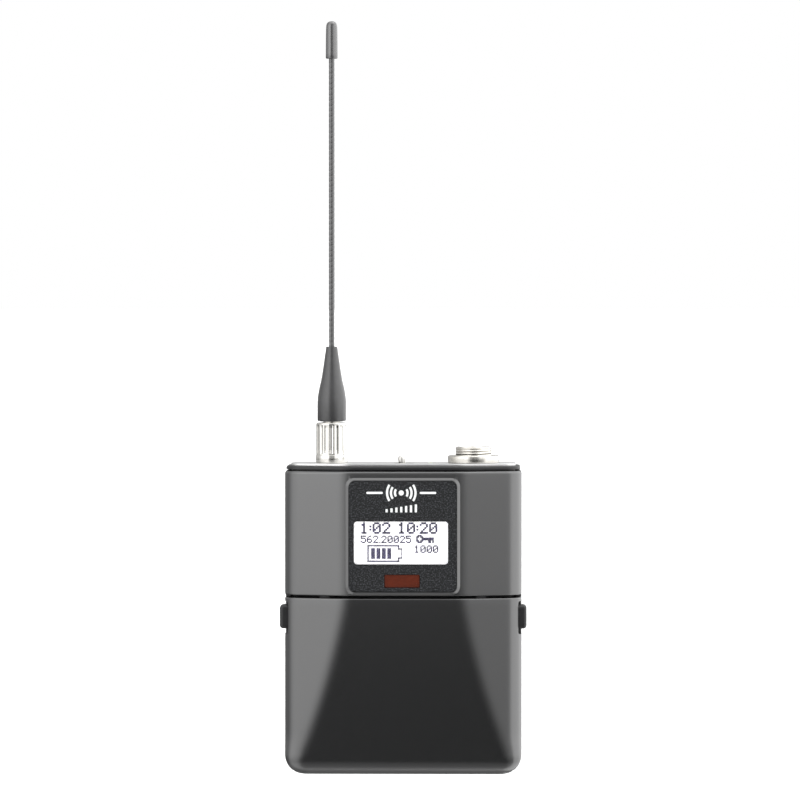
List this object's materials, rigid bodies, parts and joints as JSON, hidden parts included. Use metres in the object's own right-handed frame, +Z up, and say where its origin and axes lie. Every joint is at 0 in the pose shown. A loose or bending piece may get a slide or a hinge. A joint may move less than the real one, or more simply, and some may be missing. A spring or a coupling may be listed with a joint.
{
  "type": "wireless bodypack transmitter",
  "caption": "Belt-worn wireless instrument transmitter: faceted metal case, whip antenna, threaded input, small display, hinged battery door and wire belt clip.",
  "frame": {"origin": "on the flat bottom face of the case, under the middle of its footprint", "axes": "+X to the right seen from the front, +Y to the back, +Z up along the antenna; the display faces -Y"},
  "size_m": [0.0688, 0.03, 0.2099],
  "materials": {
    "case_paint": "satin",
    "door_paint": "satin",
    "black_plastic": "satin",
    "bezel_plastic": "matte",
    "clear_window": "gloss",
    "red_window": "gloss",
    "insulator": "satin",
    "board_green": "satin",
    "steel": "satin",
    "top_metal": "satin",
    "nickel": "polished",
    "brass": "polished",
    "rubber": "matte",
    "whip_coating": "satin",
    "foam": "matte",
    "cell_wrap": "gloss",
    "led_lens": "gloss"
  },
  "bodies": {
    "chassis": {"rear_cover": "case_paint", "front_cover": "case_paint", "top_cap": "black_plastic", "top_plate": "top_metal", "case_screw_1": "steel", "case_screw_2": "steel", "case_screw_3": "steel", "case_screw_4": "steel", "display_bezel": "bezel_plastic", "display_window": "clear_window", "infrared_window": "red_window", "lcd_module": "insulator", "main_board": "board_green", "rf_shield": "steel", "power_switch_body": "insulator", "status_led": "led_lens", "antenna_socket": "nickel", "input_connector_shell": "nickel", "input_connector_nut": "nickel", "input_connector_insert": "insulator", "input_pin_1": "brass", "input_pin_2": "brass", "input_pin_3": "brass", "input_pin_4": "brass", "battery_tray": "black_plastic", "hinge_pin_left": "steel", "hinge_pin_right": "steel", "battery_cell_upper": "cell_wrap", "battery_cell_lower": "cell_wrap", "battery_contact_bridge": "nickel", "battery_contact_upper": "nickel", "battery_contact_lower": "nickel", "contact_spring_upper": "nickel", "contact_spring_lower": "nickel", "key_panel": "black_plastic", "key_board": "board_green"},
    "battery_door": {"battery_door": "door_paint", "door_pad": "foam", "latch_spring_left": "steel", "latch_spring_right": "steel"},
    "latch_left": {"latch_left": "black_plastic"},
    "latch_right": {"latch_right": "black_plastic"},
    "power_toggle": {"power_toggle": "nickel"},
    "antenna": {"antenna_ferrule": "nickel", "antenna_boot": "rubber", "antenna_whip": "whip_coating", "antenna_tip": "rubber"},
    "antenna_collar": {"antenna_collar": "nickel"},
    "menu_button_1": {"menu_button_1": "rubber"},
    "menu_button_2": {"menu_button_2": "rubber"},
    "menu_button_3": {"menu_button_3": "rubber"},
    "menu_button_4": {"menu_button_4": "rubber"},
    "belt_clip": {"belt_clip": "steel"}
  },
  "joints": [
    {"name": "door_hinge", "type": "hinge", "parent": "chassis", "child": "battery_door", "pos_m": [0, -0.0031, 0.004], "axis": [1, 0, 0], "range_deg": [0, 100]},
    {"name": "latch_left_press", "type": "slide", "parent": "battery_door", "child": "latch_left", "axis": [1, 0, 0], "range_m": [0, 0.0012], "stiffness_N_per_m": 400, "springref_m": -0.002, "deforming": ["latch_spring_left"]},
    {"name": "latch_right_press", "type": "slide", "parent": "battery_door", "child": "latch_right", "axis": [-1, 0, 0], "range_m": [0, 0.0012], "stiffness_N_per_m": 400, "springref_m": -0.002, "deforming": ["latch_spring_right"]},
    {"name": "power_toggle_throw", "type": "hinge", "parent": "chassis", "child": "power_toggle", "pos_m": [0.00035, 0, 0.0828], "axis": [0, 1, 0], "range_deg": [0, 20]},
    {"name": "antenna_lift", "type": "slide", "parent": "chassis", "child": "antenna", "axis": [0, 0, 1], "range_m": [0, 0.0056]},
    {"name": "collar_turn", "type": "hinge", "parent": "antenna", "child": "antenna_collar", "pos_m": [-0.02, 0, 0.0925], "axis": [0, 0, 1], "range_deg": [0, 2858]},
    {"name": "menu_button_1_press", "type": "slide", "parent": "chassis", "child": "menu_button_1", "axis": [0, 1, 0], "range_m": [0, 0.0004], "stiffness_N_per_m": 1500, "springref_m": -0.0002},
    {"name": "menu_button_2_press", "type": "slide", "parent": "chassis", "child": "menu_button_2", "axis": [0, 1, 0], "range_m": [0, 0.0004], "stiffness_N_per_m": 1500, "springref_m": -0.0002},
    {"name": "menu_button_3_press", "type": "slide", "parent": "chassis", "child": "menu_button_3", "axis": [0, 1, 0], "range_m": [0, 0.0004], "stiffness_N_per_m": 1500, "springref_m": -0.0002},
    {"name": "menu_button_4_press", "type": "slide", "parent": "chassis", "child": "menu_button_4", "axis": [0, 1, 0], "range_m": [0, 0.0004], "stiffness_N_per_m": 1500, "springref_m": -0.0002},
    {"name": "belt_clip_flex", "type": "hinge", "parent": "chassis", "child": "belt_clip", "pos_m": [0, 0.0136, 0.07], "axis": [1, 0, 0], "range_deg": [0, 12], "stiffness_Nm_per_rad": 0.6, "springref_deg": -5.73}
  ],
  "couplings": [
    {"joint": "collar_turn", "follows": "antenna_lift", "rad_per_m": 8906}
  ]
}
